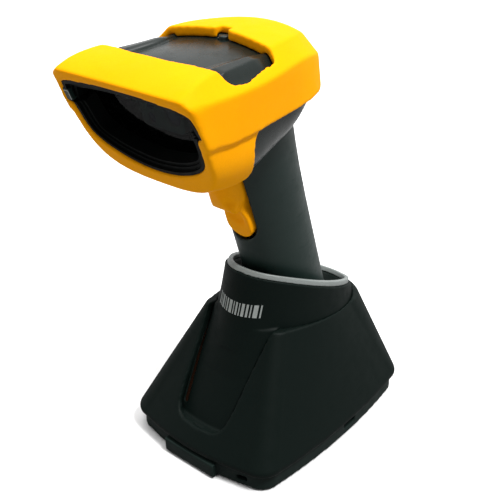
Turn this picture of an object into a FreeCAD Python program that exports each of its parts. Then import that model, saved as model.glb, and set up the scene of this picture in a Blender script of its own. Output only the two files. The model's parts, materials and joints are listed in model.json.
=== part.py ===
import FreeCAD, Part
import os

# Cordless pistol-grip barcode scanner in a yellow protective boot, standing in its charging cradle.
#
# Row frame, millimetres: origin on the desk under the centre of the cradle, +Z up, -Y the way the
# scanner looks, +X on the right as seen from in front.
# Two local frames are used as well:
#   handle frame  origin at the centre of the handle's lower end, +Z up the handle, -Y forward
#   face frame    origin at the middle of the brow, +Y into the head, +Z up the window's face

V = FreeCAD.Vector

# ---- driving dimensions: handle -----------------------------------------------------------
LEAN = 17.3                      # forward lean of the handle, degrees from vertical
HANDLE_Y, HANDLE_Z = 28.2, 20.0  # row position of the handle's lower end centre
HANDLE_LENGTH = 141.0            # lower end to the seam under the head
FLARE_START = 96.0               # above this the handle widens into the neck
GRIP_HALF_W, GRIP_HALF_D = 16.2, 19.8
NECK_HALF_W, NECK_HALF_D = 18.6, 20.8
PLUG_LENGTH = 6.0                # visible part of the battery door
DOOR_SCREW_SEAT, DOOR_SCREW_Z = GRIP_HALF_D - 1.1, 8.6
WALL = 2.2                       # moulded wall of the scanner casings
GAP = 0.15                       # assembly gap between fixed neighbours

# ---- driving dimensions: head -------------------------------------------------------------
FACE_Y, FACE_Z = -84.0, 189.0    # middle of the brow, front top edge
FACE_TILT = 24.2                 # the window face looks this many degrees below level
BOOT = 3.0                       # boot thickness
BOOT_GAP = 0.2                   # boot to casing
SKIN = BOOT + BOOT_GAP           # the casings' outside, under the boot
CASING_INSIDE = SKIN + WALL
SKIRT_STEP = 1.5                 # the chin skirt lies this far inside the side band
SPLIT_Z = 181.0                  # top cover to bottom cover seam, hidden under the boot
BROW_REAR_Y = -66.5              # rear edge of the brow bar
BAND_FRONT_Y = -28.0             # front edge of the rear band
PANEL_STEP = 1.1                 # sunk panel in the top cover, where the boot's rear band hooks in
WINDOW_DEPTH = 9.0               # window behind the boot's face
PANE_THICK, PANE_INSET = 1.5, 1.2
PANE_RIM = 1.2                   # gasket between the pane's edge and the casing
STATUS_LENS_Y, STATUS_LENS_R = -26.2, 2.2
ENGINE_Y, ENGINE_Z, ENGINE_TILT = -62.0, 173.6, 7.0      # front of the camera block
HEAD_SCREW_SPOTS = ((-28.0, -58.0), (28.0, -58.0), (-22.6, -11.5), (22.6, -11.5))
SCREW_R = 1.1
ENGINE_LUG_X, ENGINE_LUG_Y = 16.5, 7.5

# ---- driving dimensions: trigger ----------------------------------------------------------
TRIGGER_HALF_W = 7.2
TRIGGER_TAIL_Z = 94.5            # rounded lower end, along the handle
PIVOT_N, PIVOT_Z = 9.0, 130.0    # forward of the handle's axis, and along the handle
PIN_R, PIN_CLEAR = 1.0, 0.05
TRIGGER_GAP = 0.6

# ---- driving dimensions: power ------------------------------------------------------------
CELL_R, CELL_LENGTH = 9.1, 65.0
CONTACT_XS = (-7.5, -2.5, 2.5, 7.5)      # charging contacts, across the handle's end
CONTACT_RECESS = 0.4
PLUNGER_R, PLUNGER_CLEAR = 0.8, 0.05
PIN_TOP = CONTACT_RECESS - 0.02   # the plungers' tips, along the handle from its lower end

# ---- driving dimensions: cradle -----------------------------------------------------------
BASE_TOP_Z = 9.0                 # base plate to shell seam
RIM_TOP_Z = 12.0
SHELL_WALL = 2.5
CUP_CLEAR = 0.8                  # cup to handle, all round
CUP_WALL = 2.0
FLOOR_CLEAR = 0.05               # cup floor to handle end
RING_Y, RING_Z = 16.1, 70.3      # centre of the trim ring
RING_TILT = 24.4                 # the ring's front stands higher than its back
RING_HALF_W, RING_HALF_L = 24.7, 40.1
RING_WIDTH, RING_HEIGHT = 3.0, 2.6
SLOT_W = 2.2                     # light-pipe slots beside the front panel
FOOT_H = 1.0                     # thickness of the rubber mat underneath
MAT_HALF_W, MAT_HALF_L = 24.5, 50.0
TOE_HALF_W, TOE_FRONT_Y = 15.5, -60.4
BASE_SCREW_SPOTS = ((-29.0, -32.0), (29.0, -32.0), (-31.0, 32.0), (31.0, 32.0))
BASE_SCREW_R, BASE_SCREW_SEAT = 1.25, 4.0
CORNER_BITE = 1 - 0.5 ** 0.5     # how far a round corner's middle lies inside the square one


# ---- small helpers ------------------------------------------------------------------------
def box(x0, x1, y0, y1, z0, z1):
    return Part.makeBox(x1 - x0, y1 - y0, z1 - z0, V(x0, y0, z0))


def cyl(r, h, at, axis=V(0, 0, 1)):
    return Part.makeCylinder(r, h, at, axis)


def polygon_face(points):
    return Part.Face(Part.makePolygon([*points, points[0]]))


def side_prism(profile, x0, x1):
    """A profile of (y, z) points, run along X."""
    return polygon_face([V(x0, y, z) for y, z in profile]).extrude(V(x1 - x0, 0, 0))


def plan_prism(profile, z0, z1):
    """A profile of (x, y) points, run along Z."""
    return polygon_face([V(x, y, z0) for x, y in profile]).extrude(V(0, 0, z1 - z0))


def front_prism(profile, y0, y1):
    """A profile of (x, z) points, run along Y."""
    return polygon_face([V(x, y0, z) for x, z in profile]).extrude(V(0, y1 - y0, 0))


def spline(points):
    curve = Part.BSplineCurve()
    curve.interpolate(points)
    return curve.toShape()


def arc(a, b, c):
    return Part.Arc(V(*a), V(*b), V(*c)).toShape()


def oval(a, b, z, y=0.0):
    """Level oval with half sizes a along X and b along Y."""
    if a >= b:
        curve = Part.Ellipse(V(a, y, z), V(0, y + b, z), V(0, y, z))
    else:
        curve = Part.Ellipse(V(0, y + b, z), V(-a, y, z), V(0, y, z))
    return Part.Wire([curve.toShape()])


def place(shape, origin, tilt):
    """Turns a local shape about X by tilt degrees and moves it to its origin."""
    moved = shape.copy()
    turn = FreeCAD.Placement(V(*origin), FreeCAD.Rotation(V(1, 0, 0), tilt))
    moved.Placement = turn.multiply(moved.Placement)
    return moved


def in_handle(shape):
    return place(shape, (0, HANDLE_Y, HANDLE_Z), LEAN)


def in_face(shape):
    return place(shape, (0, FACE_Y, FACE_Z), FACE_TILT)


def in_ring(shape):
    return place(shape, (0, RING_Y, RING_Z), -RING_TILT)


def coil(radius, wire_r, pitch, turns, at, axis=V(0, 0, 1)):
    """A helical spring from at along axis, swept from a round wire."""
    helix = Part.makeHelix(pitch, pitch * turns, radius)
    profile = Part.Wire([Part.Circle(V(radius, 0, 0), V(0, 1, 0), wire_r).toShape()])
    spring = Part.Wire(helix.Edges).makePipeShell([profile], True, True)
    spring.Placement = FreeCAD.Placement(at, FreeCAD.Rotation(V(0, 0, 1), axis))
    return spring


def screw(head_r, head_h, shank_r, length, at, axis):
    """Pan-head screw with a cross recess, its head's seat at the point at, its shank along axis."""
    head = cyl(head_r, head_h, V(0, 0, -head_h))
    shank = cyl(shank_r, length, V(0, 0, 0))
    recess = box(-0.7 * head_r, 0.7 * head_r, -0.25, 0.25, -head_h, -0.4 * head_h)
    cross = recess.fuse(box(-0.25, 0.25, -0.7 * head_r, 0.7 * head_r, -head_h, -0.4 * head_h))
    whole = head.fuse(shank).cut(cross)
    whole.Placement = FreeCAD.Placement(at, FreeCAD.Rotation(V(0, 0, 1), axis))
    return whole


# ---- head hull ----------------------------------------------------------------------------
# One row per station along the head, for the boot's outer surface:
# y, crown height, half width and height where the crown ends, crease x and z, lower band edge x
# and z, chin shoulder x and z, chin bottom z.
STATIONS = [
    (-88.0, 188.8, 32.6, 188.6, 36.8, 187.8, 37.8, 172.0, 32.2, 154.5, 147.4),
    (-66.0, 197.0, 30.0, 195.6, 36.8, 188.2, 36.8, 169.8, 31.4, 152.3, 145.6),
    (-45.0, 198.4, 27.6, 196.0, 35.8, 188.2, 35.4, 168.8, 29.2, 149.2, 141.4),
    (-25.0, 199.2, 26.0, 196.8, 33.2, 189.4, 33.0, 169.6, 24.5, 151.5, 145.0),
    (-6.0, 198.8, 20.6, 195.8, 28.6, 188.8, 30.0, 171.6, 19.5, 157.0, 150.6),
    (7.0, 193.8, 12.5, 191.8, 20.6, 185.0, 22.2, 173.0, 13.5, 165.6, 161.0),
    (12.0, 187.6, 5.0, 187.2, 11.4, 182.5, 12.6, 175.5, 7.6, 170.2, 168.0),
]


def hull_section(station, inset):
    """Closed section of the head hull, brought in from the boot's outer surface by inset."""
    y, crown, xt, zt, xc, zc, xb, zb, xm, zm, bottom = station
    y += inset * (-1.0 if y > 0 else 0.0)
    crease = (xc - inset, zc - 0.45 * inset)
    band = (xb - inset, zb + 0.1 * inset)
    chin = (xm - 0.75 * inset, zm + 0.75 * inset)
    shoulder = (xt - 0.4 * inset, zt - inset)
    right = [V(x, y, z) for x, z in (shoulder, crease, band, chin)]
    left = [V(-p.x, y, p.z) for p in right]
    top = V(0, y, crown - inset)
    base = V(0, y, bottom + inset)
    return Part.Wire([
        Part.Arc(left[0], top, right[0]).toShape(),
        Part.makeLine(right[0], right[1]),
        Part.makeLine(right[1], right[2]),
        spline([right[2], right[3], base, left[3], left[2]]),
        Part.makeLine(left[2], left[1]),
        Part.makeLine(left[1], left[0]),
    ])


def hull(inset):
    return Part.makeLoft([hull_section(s, inset) for s in STATIONS], True, False)


def behind_face(depth):
    """Everything more than depth behind the window face."""
    return in_face(box(-60, 60, depth, 140, -120, 60))


def opening(inset, d0, d1):
    """The window opening's outline, shrunk by inset, as a prism from depth d0 to d1."""
    step = -14.5
    ear = [(28.0 - 0.7 * inset, -3.0 - inset), (33.4 - inset, -4.8 - 0.7 * inset), (35.6 - inset, step)]
    chin = [(32.6 - inset, step - 0.3), (32.0 - inset, -21), (30.0 - 0.9 * inset, -29 + 0.3 * inset),
            (25 - 0.8 * inset, -33.6 + 0.6 * inset), (18 - 0.6 * inset, -37.0 + 0.8 * inset),
            (8 - 0.3 * inset, -39.7 + inset), (0, -40.3 + inset)]
    curve = [V(x, d0, z) for x, z in chin]
    curve += [V(-x, d0, z) for x, z in reversed(chin[:-1])]
    right = [V(x, d0, z) for x, z in ear]
    left = [V(-p.x, d0, p.z) for p in right]
    edges = [
        arc(left[0], (0, d0, -1.4 - inset), right[0]),
        Part.makeLine(right[0], right[1]),
        Part.makeLine(right[1], right[2]),
        Part.makeLine(right[2], curve[0]),
        spline(curve),
        Part.makeLine(curve[-1], left[2]),
        Part.makeLine(left[2], left[1]),
        Part.makeLine(left[1], left[0]),
    ]
    return Part.Face(Part.Wire(edges)).extrude(V(0, d1 - d0, 0))


def handle_section(s, inset):
    """The handle's oval at length s from its lower end, brought in by inset."""
    rise = min(1.0, max(0.0, (s - FLARE_START) / (HANDLE_LENGTH - FLARE_START)))
    a = GRIP_HALF_W + (NECK_HALF_W - GRIP_HALF_W) * rise ** 2 - inset
    b = GRIP_HALF_D + (NECK_HALF_D - GRIP_HALF_D) * rise ** 2 - inset
    return oval(a, b, s)


def handle_solid(inset, s0, s1):
    """The handle's outside brought in by inset, from s0 to s1, in the handle frame."""
    steps = [s for s in (FLARE_START, 115.0, 128.0, HANDLE_LENGTH) if s0 + 1 < s < s1 - 1]
    sections = [handle_section(s, inset) for s in (s0, *steps, s1)]
    return Part.makeLoft(sections, True, True)


def cover_panel(upper, lower, gap):
    """The sunk panel in the top cover, between two insets from the boot's surface, drawn in by gap."""
    front, rear = BROW_REAR_Y + 1.2, BAND_FRONT_Y + 1.6 - gap
    side = [V(20 - gap, front, 180), V(18.5 - gap, -56, 180), V(20 - gap, -42, 180), V(24 - gap, rear, 180)]
    other = [V(-p.x, p.y, p.z) for p in reversed(side)]
    loop = Part.Wire([
        spline(side),
        Part.makeLine(side[-1], other[0]),
        spline(other),
        Part.makeLine(other[-1], side[0]),
    ])
    region = Part.Face(loop).extrude(V(0, 0, 40))
    return hull(upper).cut(hull(lower)).common(region)


# ---- boot ---------------------------------------------------------------------------------
def protective_boot():
    band_edge = [
        (-130, 176.0), (-72, 171.3), (-60, 170.7), (-44, 171.0), (-30, 171.2), (-14, 171.6), (30, 174.2),
    ]
    above = side_prism([*band_edge, (30, 240), (-130, 240)], -60, 60)
    band = hull(0).common(above)
    skirt = hull(SKIRT_STEP).cut(above)
    boot = band.fuse(skirt).cut(hull(BOOT)).common(behind_face(0))
    lip = hull(SKIRT_STEP).common(in_face(box(-60, 60, 0, BOOT + 0.6, -120, 60)))
    boot = boot.fuse(lip).cut(in_face(opening(0, -5, 12)))
    rear_lip = cover_panel(BOOT - 0.5, SKIN + PANEL_STEP - GAP, GAP)
    boot = boot.fuse(rear_lip.common(box(-60, 60, BAND_FRONT_Y - 6, 60, 180, 220)))
    notch = 3.0
    edge = BAND_FRONT_Y
    half = [
        (8.0, BROW_REAR_Y + 0.6), (16.0, BROW_REAR_Y + 1.7), (22.5, BROW_REAR_Y + 2.9),
        (26.5, BROW_REAR_Y + 3.6), (29.4, BROW_REAR_Y + 4.4), (32.0, BROW_REAR_Y + 5.7),
        (33.6, BROW_REAR_Y + 7.7), (34.0, -52.0), (32.4, -45.5), (31.4, -39.0), (30.8, -34.0),
        (29.8, -32.2), (27.6, -31.2), (24.5, edge - 2.6), (notch + 0.6, edge),
        (notch, edge + 0.8), (notch, edge + 3.4),
    ]
    outline = [*half, *[(-x, y) for x, y in reversed(half)]]
    boot = boot.cut(plan_prism(outline, 186, 215))
    below_band = [
        (30, 174.2), (-14, 171.6), (-30, 171.2), (-42.5, 171.0), (-46.2, 169.8), (-48.0, 167.0),
        (-48.6, 163.5), (-48.1, 159.5), (-47.2, 155.5), (-46.4, 152.0), (-44.8, 148.0), (-41.6, 143.5),
        (-39.6, 140), (-38, 120), (30, 120),
    ]
    boot = boot.cut(side_prism(below_band, -60, 60))
    return boot.removeSplitter()


# ---- head casings -------------------------------------------------------------------------
def head_casing():
    outer = hull(SKIN).common(behind_face(SKIN + 0.6))
    inner = hull(CASING_INSIDE)
    return outer.cut(inner)


def head_top_cover():
    """Upper half of the head, with a shallow sunk panel that shows between brow and rear band."""
    cover = head_casing().cut(cover_panel(BOOT - 1.0, SKIN + PANEL_STEP, 0))
    inside = hull(SKIN + PANEL_STEP + 0.3)
    for x, y in HEAD_SCREW_SPOTS:
        cover = cover.fuse(cyl(2.6, 20, V(x, y, SPLIT_Z)).common(inside))
        cover = cover.cut(cyl(SCREW_R + 0.05, 6.0, V(x, y, SPLIT_Z - 1)))
    for x in (-ENGINE_LUG_X, ENGINE_LUG_X):
        cover = cover.fuse(in_engine(cyl(2.4, 20, V(x, ENGINE_LUG_Y, 7.85))).common(inside))
        cover = cover.cut(in_engine(cyl(0.95, 4.4, V(x, ENGINE_LUG_Y, 7.0))))
    cover = cover.common(box(-60, 60, -100, 40, SPLIT_Z + GAP / 2, 230))
    lens_hole = cyl(STATUS_LENS_R + GAP, 40, V(0, STATUS_LENS_Y, 180))
    return cover.cut(lens_hole).removeSplitter()


def head_bottom_cover():
    """Lower half of the head, with a collar that plugs into the handle."""
    cover = head_casing()
    inside = hull(SKIN + 0.6)
    for x, y in HEAD_SCREW_SPOTS:
        cover = cover.fuse(cyl(3.4, 3.6, V(x, y, SPLIT_Z - GAP / 2 - 3.6)).common(inside))
        cover = cover.cut(cyl(SCREW_R + 0.2, 10, V(x, y, SPLIT_Z - 6)))
    cover = cover.common(box(-60, 60, -100, 40, 100, SPLIT_Z - GAP / 2))
    below_seam = in_handle(box(-60, 60, -70, 70, 0, HANDLE_LENGTH + GAP))
    bore = in_handle(handle_solid(WALL + 2.2, HANDLE_LENGTH - 12, HANDLE_LENGTH + 18))
    rim = in_handle(handle_solid(0, HANDLE_LENGTH - 2, HANDLE_LENGTH + 9)).cut(hull(SKIN + 1.0))
    collar = in_handle(handle_solid(WALL + GAP, HANDLE_LENGTH - 6, HANDLE_LENGTH + 4))
    half = TRIGGER_HALF_W + 2
    trigger_room = in_handle(box(-half, half, -40, -8, 100, HANDLE_LENGTH + GAP))
    cover = cover.cut(below_seam).fuse(rim.cut(below_seam)).fuse(collar).cut(bore)
    return cover.cut(trigger_room)


# ---- handle -------------------------------------------------------------------------------
def handle_shell():
    """One-piece tube, slotted in front for the trigger, with two ears that carry its pin."""
    tube = handle_solid(0, PLUG_LENGTH, HANDLE_LENGTH).cut(handle_solid(WALL, 5.0, HANDLE_LENGTH + 1))
    half = TRIGGER_HALF_W + TRIGGER_GAP
    tail_centre = TRIGGER_TAIL_Z + TRIGGER_HALF_W - 1.1
    slot = box(-half, half, -40, -10, tail_centre, HANDLE_LENGTH + 1)
    round_end = cyl(half, 30, V(0, -10, tail_centre), V(0, -1, 0))
    tube = tube.cut(slot).cut(round_end)
    inside = handle_solid(WALL - 0.5, 90, HANDLE_LENGTH)
    for side in (-1, 1):
        near, far = side * (half + 0.2), side * (half + 12)
        ear = box(min(near, far), max(near, far), -13, -5, PIVOT_Z - 4, PIVOT_Z + 4)
        tube = tube.fuse(ear.common(inside))
    tube = tube.cut(cyl(PIN_R, 28, V(-14, -PIVOT_N, PIVOT_Z), V(1, 0, 0)))
    seat = DOOR_SCREW_SEAT
    tube = tube.cut(cyl(2.1, 5, V(0, seat, DOOR_SCREW_Z), V(0, 1, 0)))
    tube = tube.cut(cyl(1.0, 6, V(0, seat - 3, DOOR_SCREW_Z), V(0, 1, 0)))
    return in_handle(tube.removeSplitter())


def battery_door():
    """Plug in the handle's lower end: a cap in line with the grip, and a spigot inside it."""
    inner = WALL + GAP + 1.8
    cap = handle_solid(0, 0, PLUG_LENGTH - GAP)
    spigot = handle_solid(WALL + GAP, 4.0, 11.0)
    body = cap.fuse(spigot).cut(handle_solid(inner, 3.0, 12.0))
    for x in CONTACT_XS:
        body = body.cut(box(x - 1.5 - GAP, x + 1.5 + GAP, -3 - GAP, 3 + GAP, -1, 4))
    body = body.cut(cyl(0.85, 8, V(0, DOOR_SCREW_SEAT, DOOR_SCREW_Z), V(0, -1, 0)))
    return in_handle(body.removeSplitter())


def door_screw():
    """Small screw through the handle's back that holds the battery door."""
    return in_handle(screw(1.9, 0.9, 0.8, 3.6, V(0, DOOR_SCREW_SEAT + 0.02, DOOR_SCREW_Z), V(0, -1, 0)))


def scanner_contacts():
    """Gold pads in the plug's underside, a little recessed, with their shanks inside."""
    pads = []
    for x in CONTACT_XS:
        pads.append(box(x - 1.5, x + 1.5, -3, 3, CONTACT_RECESS, 2.0).fuse(cyl(0.6, 3.0, V(x, 0, 2.0))))
    return in_handle(Part.Compound(pads))


def contact_board():
    board = handle_solid(WALL + GAP + 2.4, 5.2, 6.6)
    for x in CONTACT_XS:
        board = board.cut(cyl(0.7, 4, V(x, 0, 4)))
    plug = box(-5, 5, -12.0, -8.0, 6.6, 10.6)
    return in_handle(board.fuse(plug))


def battery_cell():
    centre = V(0, 4.5, 14.0)
    cell = cyl(CELL_R, CELL_LENGTH, centre)
    button = cyl(2.8, 1.2, centre + V(0, 0, CELL_LENGTH))
    return in_handle(cell.fuse(button))


def handle_board():
    """Charger and power board, standing in front of the cell."""
    board = box(-11.0, 11.0, -8.6, -7.0, 13.0, 84.0)
    chips = [
        box(-6, 2, -10.4, -8.6, 24, 34),
        box(-7, 5, -10.0, -8.6, 44, 52),
        box(2, 7, -9.8, -8.6, 62, 70),
        box(-9, 9, -11.8, -8.6, 14, 17),
    ]
    return in_handle(board.multiFuse(chips))


def ribbon_cable():
    """Flat cable from the handle board up through the neck to the main board."""
    path = [(-7.9, 84.1), (-7.4, 87.0), (-2.4, 93.0), (-1.7, 98.0), (-1.7, 150.0), (2.6, 166.6)]
    back = [(y + 0.4, z) for y, z in reversed(path)]
    return in_handle(side_prism([*path, *back], -4.5, 4.5))


def vibration_motor():
    """Small can motor with an off-centre weight."""
    y, z = 4.0, 90.0
    can = cyl(3.4, 9.0, V(-7.0, y, z), V(1, 0, 0))
    shaft = cyl(0.6, 2.5, V(2.0, y, z), V(1, 0, 0))
    weight = cyl(3.0, 3.0, V(3.0, y, z), V(1, 0, 0)).cut(box(2, 7, y + 0.2, y + 5, z - 5, z + 5))
    cradle = box(-8.0, 2.6, y + 3.2, y + 5.2, z - 3.6, z + 3.6)
    return in_handle(can.multiFuse([shaft, weight, cradle]))


# ---- trigger ------------------------------------------------------------------------------
def trigger():
    """Rounded beak above, flat tongue below; drawn in the handle frame, -Y forward."""
    profile = [
        (-12.0, 134.6), (-22.0, 136.6), (-27.0, 136.0), (-28.2, 132.0), (-28.5, 127.0), (-28.0, 122.0),
        (-26.4, 117.8), (-23.8, 114.4), (-20.8, 112.0), (-19.9, 108.0), (-19.7, 99.0),
        (-19.2, TRIGGER_TAIL_Z), (-15.0, TRIGGER_TAIL_Z), (-15.0, 118.0), (-12.0, 124.0),
    ]
    half = TRIGGER_HALF_W
    blade = side_prism(profile, -half - 1, half + 1)
    tail_r = half - 0.2
    tail_centre = TRIGGER_TAIL_Z + tail_r
    right = [(tail_r, tail_centre), (tail_r, 109), (half, 118), (half, 150)]
    upper = front_prism([*right, *[(-x, z) for x, z in reversed(right)]], -40, 0)
    outline = upper.fuse(cyl(tail_r, 40, V(0, 0, tail_centre), V(0, -1, 0)))
    nose = cyl(half, 60, V(0, -21.3, 90)).fuse(handle_solid(-1.3, 80, 140))
    blade = blade.common(outline).common(nose)
    blade = blade.cut(Part.makeSphere(9.0, V(0, -27.4, 107.4)))
    boss = cyl(3.0, 2 * half - 1, V(-half + 0.5, -PIVOT_N, PIVOT_Z), V(1, 0, 0))
    arm = box(-half + 0.5, half - 0.5, -16, -PIVOT_N, PIVOT_Z - 2.6, PIVOT_Z + 2.6)
    blade = blade.fuse(boss).fuse(arm)
    blade = blade.cut(cyl(PIN_R + PIN_CLEAR, 40, V(-20, -PIVOT_N, PIVOT_Z), V(1, 0, 0)))
    return in_handle(blade.removeSplitter())


def trigger_pin():
    half = TRIGGER_HALF_W + TRIGGER_GAP + 3.2
    return in_handle(cyl(PIN_R, 2 * half, V(-half, -PIVOT_N, PIVOT_Z), V(1, 0, 0)))


def trigger_spring():
    return in_handle(coil(1.6, 0.25, 0.95, 5, V(0, -14.7, 112.0), V(0, 1, 0)))


def trigger_switch():
    """Tact switch on a bracket behind the tongue, its plunger a trigger's travel away."""
    case = box(-3, 3, -7.6, -4.5, 98.5, 104.5)
    plunger = cyl(1.4, 4.4, V(0, -7.6, 101.5), V(0, -1, 0))
    inside = handle_solid(WALL + 0.1, 80, 130)
    bracket = box(-14.0, 14.0, -4.5, -2.9, 96.5, 116.0).common(inside)
    seat = box(-2.6, 2.6, -9.6, -4.5, 109.4, 114.6)
    return in_handle(case.multiFuse([plunger, bracket, seat]))


# ---- scan engine and electronics in the head ----------------------------------------------
def window_ring(outer, inner, front, back):
    """Ring that follows the opening between two insets, from front to back behind the face."""
    return in_face(opening(outer, front, back).cut(opening(inner, front - 1, back + 1)))


def exit_window():
    """Pane of dark glass, a little smaller than the casing's inside."""
    pane = in_face(opening(PANE_INSET, WINDOW_DEPTH, WINDOW_DEPTH + PANE_THICK))
    return pane.common(hull(CASING_INSIDE + PANE_RIM))


def window_gasket():
    """Rubber frame: three hood steps inside the boot's opening, and a grooved seat for the pane."""
    casing_front = SKIN + 0.5
    hood = window_ring(0.15, 1.6, 0.9, casing_front)
    for outer, inner, front in ((1.0, 3.2, 2.2), (2.6, 4.6, 3.0)):
        hood = hood.fuse(window_ring(outer, inner, front, casing_front))
    pane_back = WINDOW_DEPTH + PANE_THICK + GAP
    seat = window_ring(0.3, 4.6, casing_front - 0.1, WINDOW_DEPTH - GAP)
    seat = seat.fuse(window_ring(0.3, 3.4, pane_back, pane_back + 2.4))
    room = in_face(opening(PANE_INSET - GAP, 0, pane_back + 1)).common(hull(CASING_INSIDE + PANE_RIM - GAP))
    seat = seat.fuse(in_face(opening(0.3, WINDOW_DEPTH - 0.3, pane_back + 0.3)).cut(room))
    return hood.fuse(seat.common(hull(CASING_INSIDE + 0.2))).removeSplitter()


def in_engine(shape):
    return place(shape, (0, ENGINE_Y, ENGINE_Z), ENGINE_TILT)


def imager_module():
    """Camera block, level with the head, with one barrel on its right and a light port on its left."""
    block = box(-11.5, 11.5, 0, 15.0, -6.2, 6.2)
    corners = [e for e in block.Edges if abs(e.tangentAt(e.FirstParameter).y) > 0.99]
    block = block.makeFillet(2.6, corners)
    block = block.cut(cyl(4.3, 3.0, V(5.4, -0.1, 0.4), V(0, 1, 0)))
    for z in (-2.6, 2.8):
        block = block.cut(cyl(2.2, 2.0, V(-6.2, -0.1, z), V(0, 1, 0)))
    return in_engine(block)


def imager_lens():
    """Convex front lens in the camera block's barrel."""
    disc = cyl(4.2, 1.6, V(5.4, 1.2, 0.4), V(0, 1, 0))
    dome = Part.makeSphere(8.0, V(5.4, 8.2, 0.4)).common(cyl(4.2, 2.8, V(5.4, 0.0, 0.4), V(0, 1, 0)))
    return in_engine(disc.fuse(dome).removeSplitter())


def light_lenses():
    """Lenses of the white light and of the aiming beam."""
    group = []
    for z in (-2.6, 2.8):
        disc = cyl(2.1, 1.2, V(-6.2, 0.6, z), V(0, 1, 0))
        dome = Part.makeSphere(3.6, V(-6.2, 3.6, z)).common(cyl(2.1, 2.0, V(-6.2, -0.1, z), V(0, 1, 0)))
        group.append(in_engine(disc.fuse(dome).removeSplitter()))
    return Part.Compound(group)


def engine_bracket():
    """Aluminium plate over and behind the camera block, with a screw lug to each side."""
    plate = box(-11.8, 11.8, 1.5, 16.9, 6.25, 7.75)
    back = box(-11.8, 11.8, 15.1, 16.9, -5.0, 7.75)
    lugs = box(-20.0, 20.0, ENGINE_LUG_Y - 3.5, ENGINE_LUG_Y + 3.5, 6.25, 7.75)
    for x in (-ENGINE_LUG_X, ENGINE_LUG_X):
        lugs = lugs.cut(cyl(1.0, 6, V(x, ENGINE_LUG_Y, 4)))
    return in_engine(plate.multiFuse([back, lugs]))


def engine_screws():
    spots = [V(x, ENGINE_LUG_Y, 6.2) for x in (-ENGINE_LUG_X, ENGINE_LUG_X)]
    return Part.Compound([in_engine(screw(1.8, 1.3, 0.9, 5.0, at, V(0, 0, 1))) for at in spots])


def head_board():
    """Main board, level under the top cover, with its chips and the radio module's place free."""
    board = box(-21.5, 21.5, -52.0, -16.5, 184.0, 185.6)
    chips = [
        box(-14, -2, -46, -34, 185.6, 187.2),
        box(4, 12, -49, -42, 185.6, 186.8),
        box(-20, -10, -30, -22, 185.6, 186.6),
        box(-9, 9, -20, -17, 181.2, 184.0),
    ]
    return board.multiFuse(chips)


def radio_module():
    """Shielded can, soldered on the main board."""
    return box(5.0, 19.0, -38.0, -23.0, 185.65, 187.9)


def beeper():
    """Round sounder under the main board."""
    x, y, top = -13.0, -32.0, 183.9
    return cyl(6.0, 4.0, V(x, y, top - 4)).cut(cyl(1.2, 1.5, V(x, y, top - 4.1)))


def status_light_pipe():
    """Clear button in the notch of the rear band, with its stem down to the board."""
    top, dome_r = 196.2, 5.0
    stem = cyl(1.4, 5.0, V(0, STATUS_LENS_Y, 185.8))
    lens = cyl(STATUS_LENS_R, top - 190.5, V(0, STATUS_LENS_Y, 190.0))
    ball = Part.makeSphere(dome_r, V(0, STATUS_LENS_Y, top - dome_r + 0.1))
    dome = ball.common(cyl(STATUS_LENS_R, 8.0, V(0, STATUS_LENS_Y, 191)))
    return stem.fuse(lens).fuse(dome).removeSplitter()


def head_screws():
    """Screws up through the bottom cover's inner bosses into the top cover's bosses."""
    seat = SPLIT_Z - GAP / 2 - 3.65
    spots = [V(x, y, seat) for x, y in HEAD_SCREW_SPOTS]
    return Part.Compound([screw(2.2, 1.6, SCREW_R, 8.0, at, V(0, 0, 1)) for at in spots])


# ---- cradle -------------------------------------------------------------------------------
def rounded_outline(z, slope, front, back, w_front, w_mid, w_back, bow, corner, back_corner):
    """Plan outline of eight arcs, on a plane at height z where y = 0 that rises by slope per mm of y."""
    def p(x, y):
        return (x, y, z + slope * y)
    c, d = corner, back_corner
    k, m = CORNER_BITE * corner, CORNER_BITE * back_corner
    mid_y = (front + c + back - d) / 2
    right = [
        (w_front - c, front), (w_front - k, front + k), (w_front, front + c),
        (w_mid, mid_y), (w_back, back - d), (w_back - m, back - m), (w_back - d, back),
    ]
    left = [(-x, y) for x, y in reversed(right)]
    return Part.Wire([
        arc(p(*left[-1]), p(0, front - bow), p(*right[0])),
        arc(p(*right[0]), p(*right[1]), p(*right[2])),
        arc(p(*right[2]), p(*right[3]), p(*right[4])),
        arc(p(*right[4]), p(*right[5]), p(*right[6])),
        arc(p(*right[6]), p(0, back + bow * 0.5), p(*left[0])),
        arc(p(*left[0]), p(*left[1]), p(*left[2])),
        arc(p(*left[2]), p(*left[3]), p(*left[4])),
        arc(p(*left[4]), p(*left[5]), p(*left[6])),
    ])


def foot_outline(z, inset):
    """The cradle's footprint at height z, brought in by inset."""
    return rounded_outline(z, 0, -56.0 + inset, 57.0 - inset, 43.4 - inset, 46.8 - inset,
                           44.0 - inset, 4.0, 11.0 - inset / 2, 11.0 - inset / 2)


def foot_prism(inset, z0, z1):
    return Part.makeLoft([foot_outline(z0, inset), foot_outline(z1, inset)], True, True)


def top_outline(drop, inset):
    """The shell's upper edge, lowered by drop and brought in by inset."""
    return rounded_outline(60.3 - drop, -0.137, -22.5 + inset, 55.6 - inset, 24.0 - inset, 28.2 - inset,
                           25.6 - inset, 1.0, 7.0 - inset / 2, 24.0 - inset)


def shell_solid(inset, drop):
    """The shell's outside, brought in by inset: bevelled foot, upright rim and sloping sides."""
    low, bevel_top = foot_outline(BASE_TOP_Z, inset + 1.0), foot_outline(BASE_TOP_Z + 1.0, inset)
    rim_top = foot_outline(RIM_TOP_Z, inset)
    bevel = Part.makeLoft([low, bevel_top], True, True)
    rim = Part.makeLoft([bevel_top, rim_top], True, True)
    slope = Part.makeLoft([rim_top, top_outline(drop, inset)], True, True)
    return bevel.fuse(rim).fuse(slope)


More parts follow.
